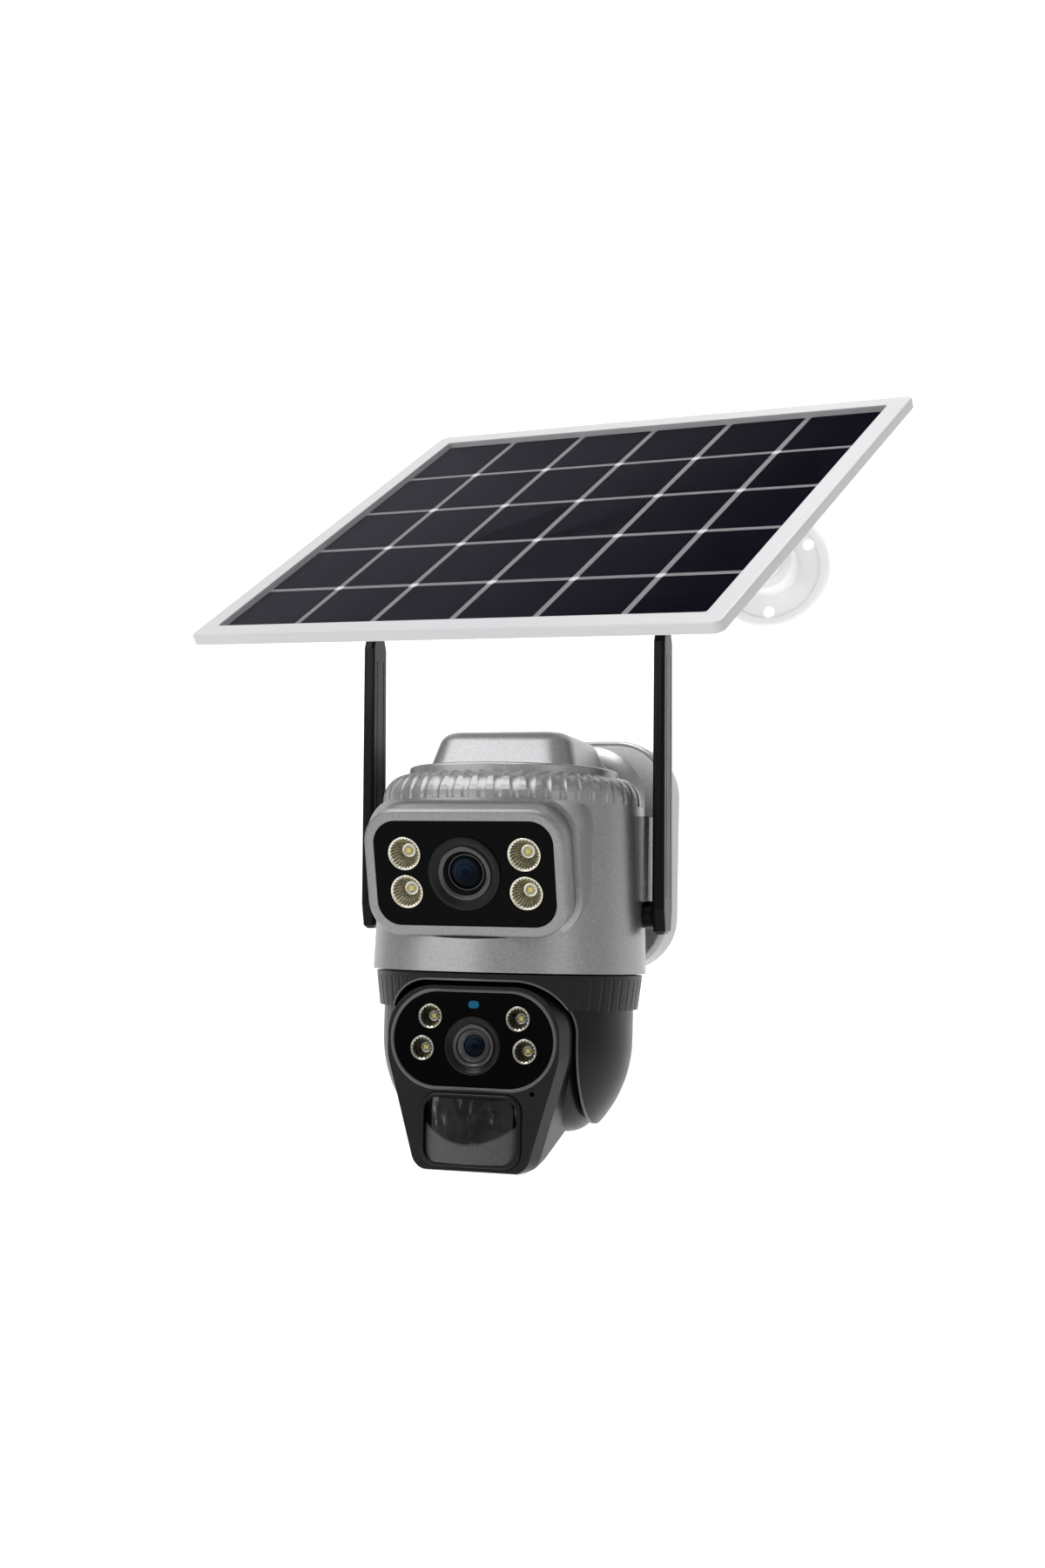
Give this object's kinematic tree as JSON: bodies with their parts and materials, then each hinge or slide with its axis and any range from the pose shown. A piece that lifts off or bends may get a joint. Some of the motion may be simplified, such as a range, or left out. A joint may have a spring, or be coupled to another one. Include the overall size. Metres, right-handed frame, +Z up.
{
  "type": "solar-powered security camera",
  "caption": "Wall-mounted dual-lens pan-tilt security camera with fold-out antennas and a separate bracketed solar panel above it.",
  "frame": {"origin": "centre of the camera's four wall screws, on the wall surface", "axes": "+Y into the wall, +Z up, +X to the right for someone who faces the camera"},
  "size_m": [0.3031, 0.2632, 0.3673],
  "materials": {
    "silver_plastic": "matt silver-grey with fine metallic flakes",
    "plate_steel": "galvanised sheet",
    "screw_steel": "zinc-plated",
    "inner_black": "moulded",
    "cell_sleeve": "shrink sleeve over a metal can",
    "button_rubber": "matt",
    "board": "solder mask",
    "bezel_grey": "silver-grey, darker than the body",
    "black_window": "polished",
    "lens_ring": "turned rings",
    "lens_glass": "coated",
    "reflector": "metallised",
    "led_dome": "clear dome over phosphor",
    "bearing_steel": "ground",
    "motor_can": "plated can",
    "gear_white": "natural acetal",
    "ring_copper": "moulded with copper tracks",
    "antenna_black": "fine matt",
    "black_shell": "satin black",
    "indicator": "tinted light guide",
    "pir_film": "moulded film lens",
    "speaker_can": "pressed frame and magnet",
    "white_metal": "white powder coat",
    "washer_steel": "zinc-plated",
    "bolt_black": "black knob on a plated bolt",
    "white_plastic": "moulded white",
    "panel_glass": "textured solar glass",
    "silicon": "dark blue-black cells",
    "box_black": "moulded"
  },
  "bodies": {
    "housing": {"wall_plate": "plate_steel", "rear_cover": "silver_plastic", "rear_housing": "silver_plastic", "housing_screws": "screw_steel", "battery_tray": "inner_black", "battery_cells": "cell_sleeve", "side_board": "board", "upper_shell": "silver_plastic", "crown_ring": "silver_plastic", "top_cover": "silver_plastic", "face_bezel": "bezel_grey", "upper_window": "black_window", "upper_lens_barrel": "lens_ring", "upper_lens_glass": "lens_glass", "upper_led_cups": "reflector", "upper_led_chips": "led_dome", "upper_camera_board": "board", "main_board": "board", "base_plate": "inner_black", "pan_bearing": "bearing_steel", "pan_motor": "motor_can", "antenna_sockets": "antenna_black", "bracket_disc": "white_metal"},
    "power_button": {"power_button": "button_rubber"},
    "reset_button": {"reset_button": "button_rubber"},
    "pan_pinion": {"pan_pinion": "gear_white"},
    "antenna_left": {"antenna_left": "antenna_black"},
    "antenna_right": {"antenna_right": "antenna_black"},
    "yoke": {"yoke_shell": "black_shell", "pan_hub": "inner_black", "pan_gear": "gear_white", "hub_screws": "screw_steel", "slip_ring": "ring_copper", "tilt_shafts": "bearing_steel", "tilt_gear": "gear_white"},
    "head": {"head_front_shell": "black_shell", "head_rear_shell": "black_shell", "head_window": "black_window", "head_lens_barrel": "lens_ring", "head_lens_glass": "lens_glass", "head_led_cups": "reflector", "head_led_chips": "led_dome", "indicator_light": "indicator", "pir_frame": "black_shell", "pir_lens": "pir_film", "head_board": "board", "speaker": "speaker_can", "tilt_motor": "motor_can"},
    "tilt_pinion": {"tilt_pinion": "gear_white"},
    "arm": {"bracket_arm": "white_metal", "arm_washer": "washer_steel"},
    "clevis": {"clevis": "white_metal", "knuckle_bolt": "bolt_black"},
    "panel": {"foot_plate": "white_metal", "foot_screws": "screw_steel", "panel_frame": "white_plastic", "panel_glass": "panel_glass", "solar_cells": "silicon", "junction_box": "box_black", "panel_gland": "box_black"}
  },
  "joints": [
    {"name": "pan", "type": "hinge", "parent": "housing", "child": "yoke", "pos_m": [0, -0.077, -0.058], "axis": [0, 0, 1], "range_deg": [-175, 175]},
    {"name": "tilt", "type": "hinge", "parent": "yoke", "child": "head", "pos_m": [0, -0.077, -0.089], "axis": [1, 0, 0], "range_deg": [0, 80]},
    {"name": "pan_motor_spin", "type": "hinge", "parent": "housing", "child": "pan_pinion", "pos_m": [-0.02873, -0.05289, -0.058], "axis": [0, 0, 1], "range_deg": [-705, 705]},
    {"name": "tilt_motor_spin", "type": "hinge", "parent": "head", "child": "tilt_pinion", "pos_m": [0, -0.09673, -0.09618], "axis": [1, 0, 0], "range_deg": [-5, 205]},
    {"name": "antenna_left_fold", "type": "hinge", "parent": "housing", "child": "antenna_left", "pos_m": [-0.0728, -0.0715, -0.03], "axis": [1, 0, 0], "range_deg": [-30, 90]},
    {"name": "antenna_right_fold", "type": "hinge", "parent": "housing", "child": "antenna_right", "pos_m": [0.0728, -0.0715, -0.03], "axis": [1, 0, 0], "range_deg": [-30, 90]},
    {"name": "arm_swivel", "type": "hinge", "parent": "housing", "child": "arm", "pos_m": [0.11, 0, 0.1475], "axis": [0, 1, 0], "range_deg": [-12, 60]},
    {"name": "panel_tilt", "type": "hinge", "parent": "arm", "child": "clevis", "pos_m": [0.04104, -0.12456, 0.12263], "axis": [0.9806, -0.196, 0], "range_deg": [-12, 25]},
    {"name": "panel_turn", "type": "hinge", "parent": "clevis", "child": "panel", "pos_m": [0.04104, -0.12456, 0.12263], "axis": [-0.1143, -0.5722, 0.8121], "range_deg": [-20, 20]},
    {"name": "power_button_press", "type": "slide", "parent": "housing", "child": "power_button", "axis": [1, 0, 0], "range_m": [0, 0.0015], "stiffness_N_per_m": 300},
    {"name": "reset_button_press", "type": "slide", "parent": "housing", "child": "reset_button", "axis": [1, 0, 0], "range_m": [0, 0.0015], "stiffness_N_per_m": 300}
  ],
  "couplings": [
    {"joint": "pan_motor_spin", "follows": "pan", "ratio": -4},
    {"joint": "tilt_motor_spin", "follows": "tilt", "ratio": 2.5}
  ]
}
